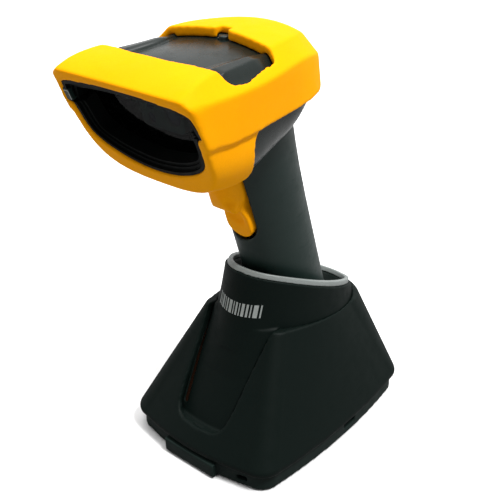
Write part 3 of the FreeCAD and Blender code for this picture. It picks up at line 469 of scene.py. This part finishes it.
def metal(name, colour, roughness, streak=ALONG_Z):
    """Drawn or brushed metal: fine streaks, small stains and a painted highlight on the edges."""
    look = Nodes(name)
    lines = look.noise(STREAK_SIZE, detail=3, stretch=streak)
    stain = look.remap(look.noise(STAIN_SIZE, detail=5), *STAIN_RANGE)
    tone = look.mix(look.maths("MULTIPLY", lines, STREAK), colour, shade(colour, STREAK_SHADE))
    tone = look.mix(look.maths("MULTIPLY", stain, STAIN), tone, shade(colour, STAIN_SHADE))
    # Painted highlight: edges are made lighter
    edge = look.maths("MULTIPLY", look.edges(*BRIGHT_EDGE), BRIGHT)
    tone = look.mix(edge, tone, shade(colour, BRIGHT_SHADE))
    rough = look.maths("ADD", look.remap(lines, *MIDDLE, -STREAK_ROUGH, STREAK_ROUGH), roughness)
    relief = look.bump(lines, STREAK_DEPTH)
    look.surface(Base_Color=tone, Metallic=1.0, Roughness=rough, Normal=relief)
    return look.material


def board(name, colour):
    """Solder-masked circuit board: lighter tracks under the mask and tinned pads."""
    look = Nodes(name)
    brick = look.add("ShaderNodeTexBrick", Vector=look.place, Scale=TRACK_SCALE, Mortar_Size=TRACK_GAP)
    track = look.maths("SUBTRACT", 1.0, brick.outputs["Fac"])
    tone = look.mix(look.maths("MULTIPLY", track, TRACK), shade(colour, TRACK_SHADE), colour)
    pad = look.remap(look.cells(PAD_SIZE, PAD_SCATTER), *PAD_RANGE)
    tone = look.mix(pad, tone, TIN)
    rough = look.remap(look.noise(MASK_SIZE, detail=4), *MIDDLE, *MASK_ROUGH)
    relief = look.bump(track, TRACK_DEPTH)
    shine = look.maths("MULTIPLY", pad, PAD_METAL)
    look.surface(Base_Color=tone, Roughness=rough, Metallic=shine, Normal=relief)
    return look.material


def pane(name, tint, cover, roughness):
    """Coated dark glass: a little of what is behind shows, with a clean reflection and faint smears."""
    look = Nodes(name)
    smear = look.remap(look.noise(SMEAR_SIZE, detail=5, stretch=SMEAR_STRETCH), *SMEAR_RANGE)
    rough = look.maths("ADD", look.maths("MULTIPLY", smear, SMEAR_ROUGH), roughness)
    relief = look.bump(look.noise(PANE_WAVE_SIZE, detail=2), PANE_WAVE_DEPTH)
    front = look.add("ShaderNodeBsdfPrincipled", Base_Color=(*shade(tint, PANE_SHADE), 1),
                     Roughness=rough, Specular_IOR_Level=PANE_SPECULAR, Normal=relief)
    clear = look.add("ShaderNodeBsdfTransparent", Color=(*tint, 1))
    share = look.maths("ADD", look.maths("MULTIPLY", smear, SMEAR_COVER), cover)
    both = look.add("ShaderNodeMixShader", Fac=share)
    look.tree.links.new(clear.outputs[0], both.inputs[1])
    look.tree.links.new(front.outputs[0], both.inputs[2])
    look.tree.links.new(both.outputs[0], look.out.inputs["Surface"])
    return look.material


def lens(name, tint, rim):
    """Coated optical glass: dark, with a coloured bloom that shifts towards the rim."""
    look = Nodes(name)
    facing = look.add("ShaderNodeLayerWeight", Blend=BLOOM_BLEND).outputs["Facing"]
    bloom = look.mix(facing, tint, rim)
    rough = look.remap(look.noise(LENS_DUST_SIZE, detail=4), *MIDDLE, *LENS_ROUGH)
    relief = look.bump(look.noise(LENS_WAVE_SIZE, detail=2), LENS_WAVE_DEPTH)
    look.surface(Base_Color=bloom, Roughness=rough, Specular_IOR_Level=LENS_SPECULAR,
                 Coat_Weight=LENS_COAT, Normal=relief)
    return look.material


# Moulded finishes: colour, deeper colour, roughness, specular, grain size and depth in mm, and for the
# lighter outward edges, partly worn and partly painted highlight, how strongly they show and how much
# lighter they are
MOULDED = {
    "boot_rubber": ((0.96, 0.385, 0.0), (0.90, 0.31, 0.0), 0.58, 0.035, 0.5, 0.03, 0.10, 1.2),
    "trigger_plastic": ((1.0, 0.40, 0.0), (0.95, 0.30, 0.0), 0.50, 0.05, 0.4, 0.02, 0.12, 1.2),
    "scanner_plastic": (
        (0.0105, 0.0215, 0.0185), (0.0080, 0.0170, 0.0150), 0.40, 0.22, 0.45, 0.025, 0.35, 2.2),
    "head_plastic": (
        (0.0055, 0.0100, 0.0085), (0.0042, 0.0078, 0.0070), 0.26, 0.26, 0.6, 0.015, 0.35, 2.5),
    "cradle_plastic": (
        (0.0024, 0.0054, 0.0044), (0.0018, 0.0042, 0.0035), 0.55, 0.075, 0.45, 0.03, 0.6, 2.6),
    "base_plastic": ((0.0065, 0.0130, 0.0110), (0.005, 0.010, 0.0085), 0.55, 0.10, 0.45, 0.03, 0.6, 2.4),
    "ring_plastic": ((0.185, 0.205, 0.198), (0.14, 0.155, 0.15), 0.36, 0.35, 0.4, 0.012),
    "black_rubber": (
        (0.0022, 0.0030, 0.0028), (0.0015, 0.0020, 0.0020), 0.55, 0.07, 0.6, 0.03, 0.2, 1.6),
    "engine_plastic": ((0.30, 0.32, 0.33), (0.22, 0.24, 0.25), 0.45, 0.4, 0.3, 0.02),
    "black_plastic": ((0.010, 0.010, 0.010), (0.006, 0.006, 0.006), 0.4, 0.4, 0.4, 0.02),
    "cell_wrap": ((0.012, 0.060, 0.22), (0.008, 0.045, 0.17), 0.22, 0.5, 2.0, 0.05),
    "cable_film": ((0.40, 0.16, 0.010), (0.28, 0.10, 0.006), 0.25, 0.5, 1.2, 0.02),
    "light_pipe": ((0.020, 0.028, 0.026), (0.014, 0.020, 0.018), 0.25, 0.3, 1.0, 0.01),
    "smoked_plastic": ((0.016, 0.007, 0.004), (0.009, 0.005, 0.003), 0.28, 0.20, 1.5, 0.02),
    # light lines that paint the highlights on the window tab's top and right edges
    "tab_edge_highlight": ((0.50, 0.54, 0.53), (0.42, 0.46, 0.45), 0.6, 0.1, 0.3, 0.004),
    "mark_ink": ((0.24, 0.26, 0.25), (0.19, 0.21, 0.20), 0.6, 0.1, 0.3, 0.004),
}

# Metals: colour, roughness and, where it isn't the usual one, the stretch of the streaks
METALS = {
    "gold_contact": ((0.90, 0.62, 0.22), 0.22),
    "screw_steel": ((0.52, 0.52, 0.53), 0.30),
    "spring_steel": ((0.60, 0.60, 0.60), 0.26),
    "can_metal": ((0.66, 0.66, 0.67), 0.33),
    "bracket_alu": ((0.74, 0.75, 0.76), 0.38, ALONG_X),
    "ballast_steel": ((0.36, 0.37, 0.38), 0.48, ALONG_X),
}


def make_materials():
    """One material for each slot of the record, and those of the pieces that are only here."""
    made = {name: moulded(name, *values) for name, values in MOULDED.items()}
    made.update({name: metal(name, *values) for name, values in METALS.items()})
    made["board_green"] = board("board_green", (0.004, 0.070, 0.022))
    made["window_glass"] = pane("window_glass", (0.42, 0.52, 0.50), 0.30, 0.02)
    made["lens_glass"] = lens("lens_glass", (0.05, 0.08, 0.30), (0.24, 0.025, 0.30))
    return made


MATERIALS = make_materials()


def dress(obj, slot):
    """Gives an object the material of a slot."""
    obj.data.materials.clear()
    obj.data.materials.append(MATERIALS[slot])


# ---------------------------------------------------------------- pieces

def moulded_pieces():
    """The visible mouldings, each remeshed so that its edges are as soft as the tool left them."""
    made = {}
    for name, node, voxel, rounds in MOULDINGS:
        piece = soft_copy(name, node, voxel, rounds)
        dress(piece, SLOT_OF[node])
        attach(piece, BODY_OF[node])
        made[name] = piece
    for name in HEAD_COVERS:
        dress(made[name], "head_plastic")
    shape_boot(made["boot"])
    shape_trigger(made["finger_trigger"])
    dent(made["bottom_cover"], in_handle(*LATCH), LATCH_DIRECTION, LATCH_RADIUS, LATCH_DEPTH)
    raise_strips(made["top_cover"])
    for name in CUP_RIM:
        lift_rim(made[name])
    return made


def shape_boot(boot):
    """The rubber is rounder than the CAD at the front, and its left band lies lower."""
    face = to_frame(points_of(boot), FACE_ORIGIN, FACE_TILT)
    sides = FACE_MIDDLE + (1 - FACE_MIDDLE) * ramp(np.abs(face[:, 0]), *FACE_SIDE)
    soften(boot, fade(face[:, 1], *FACE_BEHIND) * sides, FACE_ROUNDS)
    face = to_frame(points_of(boot), FACE_ORIGIN, FACE_TILT)
    corner = fade(face[:, 1], *CORNER_BEHIND) * ramp(np.abs(face[:, 0]), *CORNER_SIDE)
    soften(boot, corner * ramp(face[:, 2], *CORNER_UP), CORNER_ROUNDS)
    row = points_of(boot) / MM
    left = ramp(-row[:, 0], *BAND_SIDE) * ramp(row[:, 1], *BAND_FRONT_Y) * fade(row[:, 1], *BAND_REAR_Y)
    row[:, 2] -= BAND_DROP * left * ramp(row[:, 2], *BAND_Z)
    set_points(boot, row * MM)
    crest = ramp(np.abs(row[:, 0]), *CREST_SIDE) * ramp(row[:, 2], *CREST_Z)
    soften(boot, crest, CREST_ROUNDS)
    for place in HOLLOWS:
        dent(boot, Vector(place) * MM, HOLLOW_DIRECTION, HOLLOW_RADIUS, HOLLOW_DEPTH)


def shape_trigger(piece):
    """A waist between beak and paddle, a lower and wider beak, and two hollows for the finger."""
    local = to_frame(points_of(piece), HANDLE_ORIGIN, LEAN)
    along = local[:, 2]
    front = ramp(-local[:, 1], *TRIGGER_FRONT)
    waist = hump(along, WAIST_HEIGHT, WAIST_SPREAD)
    local[:, 0] *= 1 - WAIST_PINCH * waist * front
    beak = hump(along, BEAK_HEIGHT, BEAK_SPREAD) * ramp(-local[:, 1], *BEAK_FRONT)
    local[:, 2] -= BEAK_DROP * beak
    local[:, 0] *= 1 + BEAK_WIDEN * beak
    set_points(piece, from_frame(local, HANDLE_ORIGIN, LEAN))
    soften(piece, front, TRIGGER_ROUNDS)
    for centre, direction, radius, depth in FINGER_HOLLOWS:
        dent(piece, in_handle(*centre), direction, radius, depth)


def raise_strips(cover):
    """The strips beside the sunk panel stand a little prouder than in the CAD."""
    points = points_of(cover) / MM
    across, y, z = np.abs(points[:, 0]), points[:, 1], points[:, 2]
    strip = ramp(across, *STRIP_INNER) * fade(across, *STRIP_OUTER)
    strip = strip * ramp(y, *STRIP_FRONT_Y) * fade(y, *STRIP_REAR_Y)
    points[:, 2] += STRIP_RISE * strip * ramp(z, *STRIP_Z)
    set_points(cover, points * MM)


def lift_rim(piece):
    """Raises the cup's rim at both sides."""
    points = points_of(piece) / MM
    height = points[:, 2] - (RING_Z - math.tan(RING_TILT) * (points[:, 1] - RING_Y))
    side = ramp(np.abs(points[:, 0]), *RIM_SIDE)
    points[:, 2] += RIM_RISE * side * ramp(height, -RIM_REACH, 0)
    set_points(piece, points * MM)


def springs():
    """The springs as copies of their CAD nodes, each with its material and riding with its body."""
    for name, node, joint, axis, anchor, keep in SPRINGS:
        piece = linked(name, NODES[node].data.copy())
        dress(piece, SLOT_OF[node])
        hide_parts(node)
        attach(piece, BODY_OF[node])
        axis = Matrix.Rotation(LEAN, 3, "X") @ Vector(axis)
        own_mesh(piece)


def cad_pieces():
    """The CAD nodes that stay as they are, with their materials."""
    for node, obj in NODES.items():
        if not obj.hide_render:
            dress(obj, SLOT_OF[node])


def plate_between(name, front_rows, back_rows):
    """Closed strip of mesh between a front and a back grid of points with the same rows and columns."""
    rows, columns = len(front_rows), len(front_rows[0])
    work = bmesh.new()
    front = [[work.verts.new(p) for p in row] for row in front_rows]
    back = [[work.verts.new(p) for p in row] for row in back_rows]
    for r in range(rows - 1):
        for c in range(columns - 1):
            work.faces.new((front[r][c], front[r][c + 1], front[r + 1][c + 1], front[r + 1][c]))
            work.faces.new((back[r][c], back[r + 1][c], back[r + 1][c + 1], back[r][c + 1]))
    for r in range(rows - 1):
        for c in (0, columns - 1):
            work.faces.new((front[r][c], front[r + 1][c], back[r + 1][c], back[r][c]))
    for c in range(columns - 1):
        for r in (0, rows - 1):
            work.faces.new((front[r][c], front[r][c + 1], back[r][c + 1], back[r][c]))
    bmesh.ops.recalc_face_normals(work, faces=work.faces)
    mesh = bpy.data.meshes.new(name)
    work.to_mesh(mesh)
    work.free()
    return linked(name, mesh)


def sleeve_mark(sleeve):
    """Generic barcode printed on the sleeve's front: bars that follow its curve."""
    work = bmesh.new()
    work.from_mesh(sleeve.data)
    tree = BVHTree.FromBMesh(work)
    work.free()
    total = sum(BAR_WIDTHS) + BAR_SPACE * (len(BAR_WIDTHS) - 1)
    x = MARK_X - total / 2
    bars = []
    for number, width in enumerate(BAR_WIDTHS):
        front_rows, back_rows = [], []
        for step in range(BAR_STEPS + 1):
            z = BAR_LOW_Z + (BAR_HIGH_Z - BAR_LOW_Z) * step / BAR_STEPS
            front, back = [], []
            for part in range(BAR_PARTS + 1):
                start = Vector((x + width * part / BAR_PARTS, FRONT_Y, z)) * MM
                hit = tree.ray_cast(start, Vector((0, 1, 0)))[0]
                front.append(hit - Vector((0, BAR_PROUD, 0)) * MM)
                back.append(hit + Vector((0, BAR_SUNK, 0)) * MM)
            front_rows.append(front)
            back_rows.append(back)
        bars.append(plate_between(f"mark_bar_{number}", front_rows, back_rows))
        x += width + BAR_SPACE
    bpy.ops.object.select_all(action="DESELECT")
    for bar in bars:
        bar.select_set(True)
    bpy.context.view_layer.objects.active = bars[0]
    bpy.ops.object.join()
    mark = bars[0]
    mark.name = "printed_mark"
    dress(mark, "mark_ink")
    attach(mark, "cradle")


def face_bar(name, left, right, low, high, front, back, lean):
    """Flat bar in the window face's frame; lean moves its lower end sideways."""
    fronts, backs = [], []
    for step in range(TAB_STEPS + 1):
        share = step / TAB_STEPS
        z = high + (low - high) * share
        shift = lean * share
        row = [left + shift + (right - left) * part / TAB_PARTS for part in range(TAB_PARTS + 1)]
        fronts.append([in_face(x, front, z) for x in row])
        backs.append([in_face(x, back, z) for x in row])
    return plate_between(name, fronts, backs)


def window_tab():
    """Dark locking tab of the casing at the opening's left end, with painted highlights as thin light
    lines along its top and right edges.
    """
    tab = face_bar("window_tab", TAB_LEFT, TAB_RIGHT, TAB_LOW, TAB_HIGH, TAB_FRONT, TAB_BACK, TAB_LEAN)
    bevel = tab.modifiers.new("bevel", "BEVEL")
    bevel.width = TAB_BEVEL * MM
    bevel.segments = 3
    settle_modifiers(tab)
    dress(tab, "scanner_plastic")
    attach(tab, "scanner")
    # Painted highlights: thin light lines along the tab's top and right edges
    rise, sunk = TAB_FRONT - LINE_RISE, TAB_FRONT + LINE_SUNK
    edge = TAB_RIGHT - LINE_IN
    low, high = TAB_HIGH - TOP_LINE[0], TAB_HIGH - TOP_LINE[1]
    top = face_bar("tab_highlight_top", TAB_LEFT + LINE_IN, edge, low, high, rise, sunk, 0)
    side = face_bar("tab_highlight_side", edge - LINE_WIDE, edge, TAB_LOW + SIDE_LINE_LOW, high, rise, sunk,
                    LINE_LEAN)
    for piece in (top, side):
        dress(piece, "tab_edge_highlight")
        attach(piece, "scanner")


# ---------------------------------------------------------------- studio

def studio_camera():
    """Camera at the viewing angle, distance and lens that were worked out for it."""
    ahead = Vector((-math.sin(CAMERA_AZIMUTH) * math.cos(CAMERA_ELEVATION),
                    math.cos(CAMERA_AZIMUTH) * math.cos(CAMERA_ELEVATION),
                    -math.sin(CAMERA_ELEVATION)))
    level = Vector((math.cos(CAMERA_AZIMUTH), math.sin(CAMERA_AZIMUTH), 0))
    upright = level.cross(ahead)
    right = math.cos(CAMERA_ROLL) * level + math.sin(CAMERA_ROLL) * upright
    top = -math.sin(CAMERA_ROLL) * level + math.cos(CAMERA_ROLL) * upright
    data = bpy.data.cameras.new("camera")
    data.lens = CAMERA_LENS
    data.sensor_width = CAMERA_SENSOR
    data.clip_start = NEAR_CLIP
    camera = linked("camera", data)
    turn = Matrix((right, top, -ahead)).transposed()
    camera.matrix_world = Matrix.Translation(CAMERA_TARGET - ahead * CAMERA_DISTANCE) @ turn.to_4x4()
    bpy.context.scene.camera = camera


def lamp(name, direction, strength, softness):
    """Soft distant white light that shines from a direction."""
    data = bpy.data.lights.new(name, "SUN")
    data.energy = strength
    data.angle = math.radians(softness)
    light = linked(name, data)
    light.rotation_mode = "QUATERNION"
    light.rotation_quaternion = Vector(direction).to_track_quat("Z", "Y")


def surround():
    """White room that is dimmer on the camera's side, so that rounded parts show lighter edges."""
    world = bpy.data.worlds.new("surround")
    bpy.context.scene.world = world
    world.use_nodes = True
    tree = world.node_tree
    back = tree.nodes["Background"]
    place = tree.nodes.new("ShaderNodeTexCoord")
    toward = tree.nodes.new("ShaderNodeVectorMath")
    toward.operation = "DOT_PRODUCT"
    toward.inputs[1].default_value = (math.sin(CAMERA_AZIMUTH), -math.cos(CAMERA_AZIMUTH), 0)
    tree.links.new(place.outputs["Generated"], toward.inputs[0])
    level = tree.nodes.new("ShaderNodeMapRange")
    level.inputs["From Min"].default_value = ROOM_FROM
    level.inputs["From Max"].default_value = ROOM_TO
    level.inputs["To Min"].default_value = ROOM_FAR
    level.inputs["To Max"].default_value = ROOM_NEAR
    tree.links.new(toward.outputs["Value"], level.inputs["Value"])
    seen = tree.nodes.new("ShaderNodeLightPath")
    pick = tree.nodes.new("ShaderNodeMath")
    pick.operation = "MAXIMUM"
    tree.links.new(seen.outputs["Is Camera Ray"], pick.inputs[0])
    tree.links.new(level.outputs["Result"], pick.inputs[1])
    tree.links.new(pick.outputs[0], back.inputs["Strength"])
    back.inputs["Color"].default_value = (1, 1, 1, 1)


def lay_floor():
    """Plain floor: pale where the camera sees it, darker as a source of light on the object."""
    bpy.ops.mesh.primitive_plane_add(size=FLOOR_SIZE)
    floor = bpy.context.object
    floor.name = "floor"
    look = Nodes("floor")
    seen = look.add("ShaderNodeLightPath").outputs["Is Camera Ray"]
    pale = look.mix(look.noise(FLOOR_PATCH, detail=3), *FLOOR_SEEN)
    tone = look.mix(seen, FLOOR_LIT, pale)
    look.surface(Base_Color=tone, Roughness=FLOOR_ROUGH, Specular_IOR_Level=FLOOR_SPECULAR)
    floor.data.materials.append(look.material)


def studio():
    """Plain pale floor, white surround and soft lights."""
    bpy.context.scene.view_settings.view_transform = "Standard"
    surround()
    lay_floor()
    for sun in SUNS:
        lamp(*sun)


made = moulded_pieces()
sleeve_mark(made["cradle_front"])
window_tab()
springs()
cad_pieces()
studio()
studio_camera()
